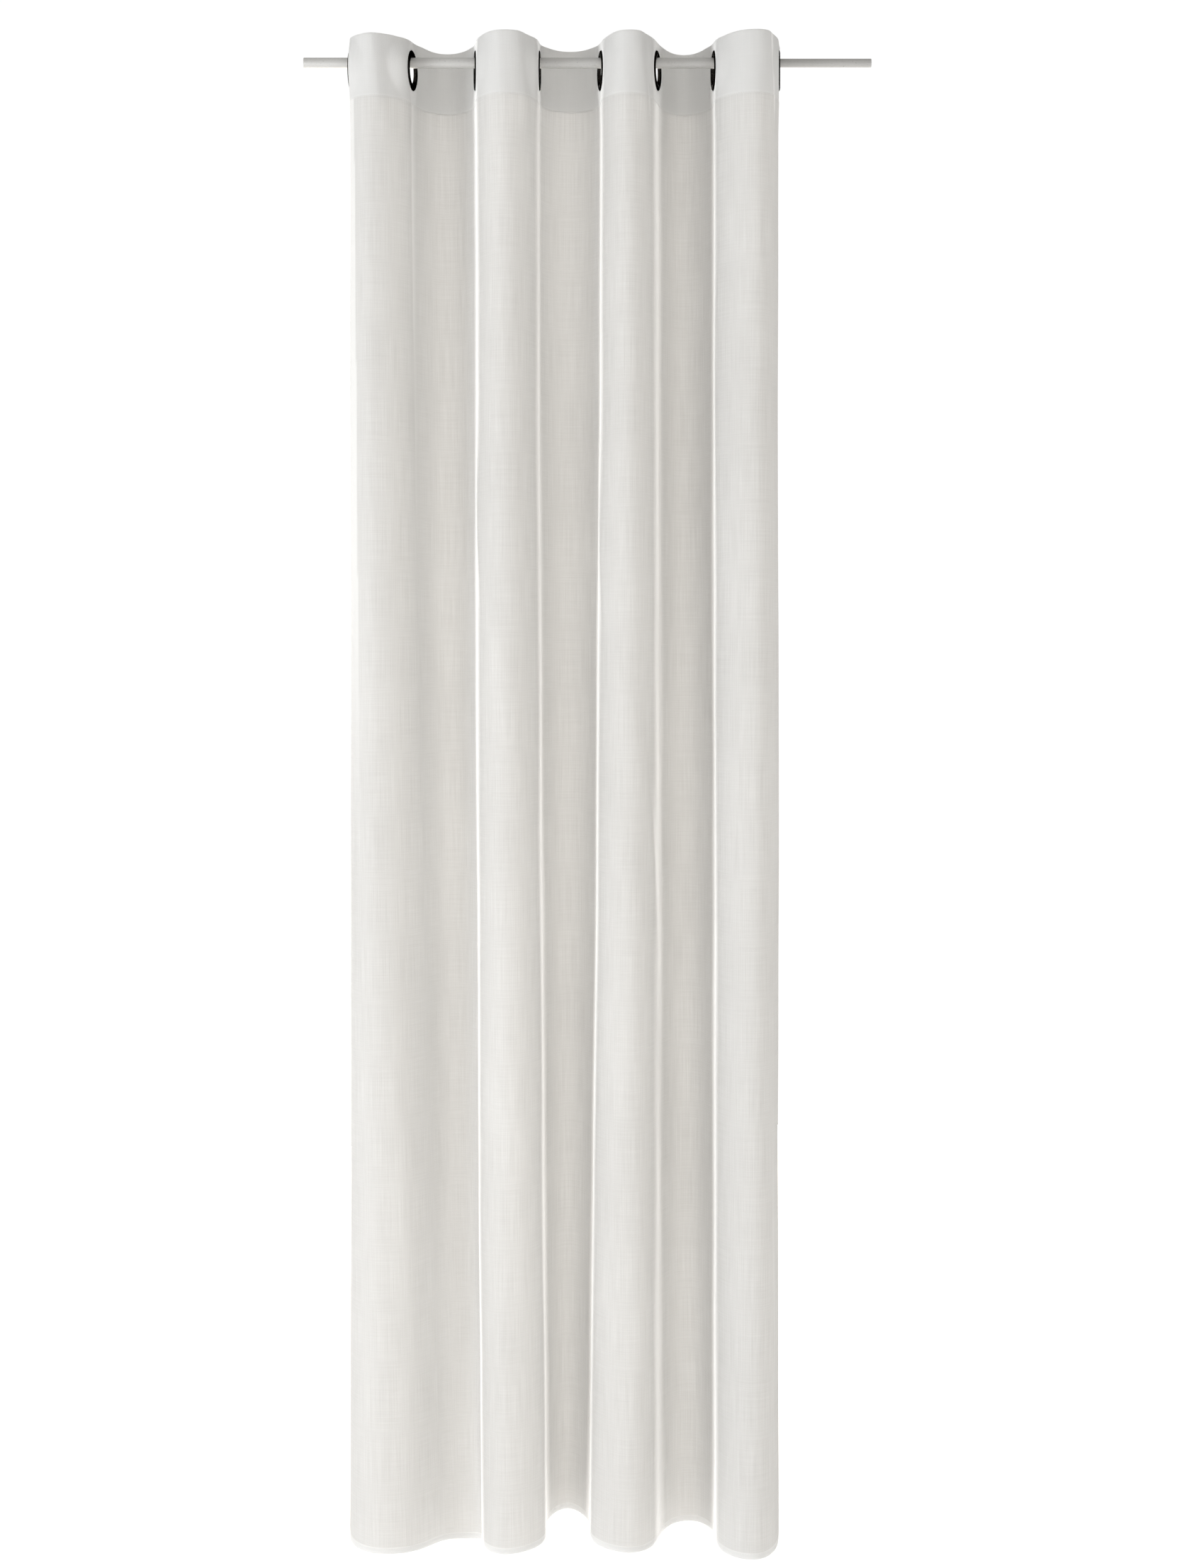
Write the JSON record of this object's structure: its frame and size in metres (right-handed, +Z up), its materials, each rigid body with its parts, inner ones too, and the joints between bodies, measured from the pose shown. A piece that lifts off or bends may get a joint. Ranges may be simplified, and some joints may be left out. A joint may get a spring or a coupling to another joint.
{
  "type": "eyelet curtain on a telescopic rod",
  "caption": "Semi-sheer eyelet curtain that hangs in deep folds from a telescopic rod and draws open and shut like a folding screen.",
  "frame": {"origin": "on the rod's axis at the middle of the left bracket, 30 mm in from the rod's left end", "axes": "+X to the right along the rod, +Z up, so the room side of the curtain is at -Y"},
  "size_m": [0.854, 0.1532, 2.25],
  "materials": {
    "curtain_cloth": "matte",
    "heading_cloth": "matte",
    "stiffener": "matte",
    "eyelet_metal": "satin",
    "rod_lacquer": "satin"
  },
  "bodies": {
    "rod_outer": {"rod_outer_tube": "rod_lacquer"},
    "rod_inner": {"rod_inner_tube": "rod_lacquer"},
    "wall_1": {"curtain_cloth_1": "curtain_cloth", "heading_band_1": "heading_cloth", "heading_stiffener_1": "stiffener", "bottom_hem_1": "curtain_cloth", "eyelet_front_1": "eyelet_metal", "eyelet_back_1": "eyelet_metal", "side_hem_left": "curtain_cloth"},
    "wall_2": {"curtain_cloth_2": "curtain_cloth", "heading_band_2": "heading_cloth", "heading_stiffener_2": "stiffener", "bottom_hem_2": "curtain_cloth", "eyelet_front_2": "eyelet_metal", "eyelet_back_2": "eyelet_metal"},
    "wall_3": {"curtain_cloth_3": "curtain_cloth", "heading_band_3": "heading_cloth", "heading_stiffener_3": "stiffener", "bottom_hem_3": "curtain_cloth", "eyelet_front_3": "eyelet_metal", "eyelet_back_3": "eyelet_metal"},
    "wall_4": {"curtain_cloth_4": "curtain_cloth", "heading_band_4": "heading_cloth", "heading_stiffener_4": "stiffener", "bottom_hem_4": "curtain_cloth", "eyelet_front_4": "eyelet_metal", "eyelet_back_4": "eyelet_metal"},
    "wall_5": {"curtain_cloth_5": "curtain_cloth", "heading_band_5": "heading_cloth", "heading_stiffener_5": "stiffener", "bottom_hem_5": "curtain_cloth", "eyelet_front_5": "eyelet_metal", "eyelet_back_5": "eyelet_metal"},
    "wall_6": {"curtain_cloth_6": "curtain_cloth", "heading_band_6": "heading_cloth", "heading_stiffener_6": "stiffener", "bottom_hem_6": "curtain_cloth", "eyelet_front_6": "eyelet_metal", "eyelet_back_6": "eyelet_metal"},
    "wall_7": {"curtain_cloth_7": "curtain_cloth", "heading_band_7": "heading_cloth", "heading_stiffener_7": "stiffener", "bottom_hem_7": "curtain_cloth", "eyelet_front_7": "eyelet_metal", "eyelet_back_7": "eyelet_metal"},
    "wall_8": {"curtain_cloth_8": "curtain_cloth", "heading_band_8": "heading_cloth", "heading_stiffener_8": "stiffener", "bottom_hem_8": "curtain_cloth", "eyelet_front_8": "eyelet_metal", "eyelet_back_8": "eyelet_metal", "side_hem_right": "curtain_cloth"}
  },
  "joints": [
    {"name": "rod_extend", "type": "slide", "parent": "rod_outer", "child": "rod_inner", "axis": [1, 0, 0], "range_m": [0, 0.25]},
    {"name": "curtain_draw", "type": "hinge", "parent": "rod_outer", "child": "wall_1", "pos_m": [0.042, 0, -0.0115], "axis": [0, 0, -1], "range_deg": [-6, 19]},
    {"name": "fold_1", "type": "hinge", "parent": "wall_1", "child": "wall_2", "pos_m": [0.08715, -0.06925, -0.0115], "axis": [0, 0, 1], "range_deg": [-12, 38]},
    {"name": "fold_2", "type": "hinge", "parent": "wall_2", "child": "wall_3", "pos_m": [0.18085, 0.068, -0.0115], "axis": [0, 0, -1], "range_deg": [-12, 38]},
    {"name": "fold_3", "type": "hinge", "parent": "wall_3", "child": "wall_4", "pos_m": [0.27635, -0.06644, -0.0115], "axis": [0, 0, 1], "range_deg": [-12, 38]},
    {"name": "fold_4", "type": "hinge", "parent": "wall_4", "child": "wall_5", "pos_m": [0.37055, 0.06702, -0.0115], "axis": [0, 0, -1], "range_deg": [-12, 38]},
    {"name": "fold_5", "type": "hinge", "parent": "wall_5", "child": "wall_6", "pos_m": [0.45945, -0.07672, -0.0115], "axis": [0, 0, 1], "range_deg": [-12, 38]},
    {"name": "fold_6", "type": "hinge", "parent": "wall_6", "child": "wall_7", "pos_m": [0.54455, 0.07373, -0.0115], "axis": [0, 0, -1], "range_deg": [-12, 38]},
    {"name": "fold_7", "type": "hinge", "parent": "wall_7", "child": "wall_8", "pos_m": [0.63605, -0.06601, -0.0115], "axis": [0, 0, 1], "range_deg": [-12, 38]}
  ],
  "couplings": [
    {"joint": "fold_1", "follows": "curtain_draw", "ratio": 2},
    {"joint": "fold_2", "follows": "curtain_draw", "ratio": 2},
    {"joint": "fold_3", "follows": "curtain_draw", "ratio": 2},
    {"joint": "fold_4", "follows": "curtain_draw", "ratio": 2},
    {"joint": "fold_5", "follows": "curtain_draw", "ratio": 2},
    {"joint": "fold_6", "follows": "curtain_draw", "ratio": 2},
    {"joint": "fold_7", "follows": "curtain_draw", "ratio": 2}
  ]
}
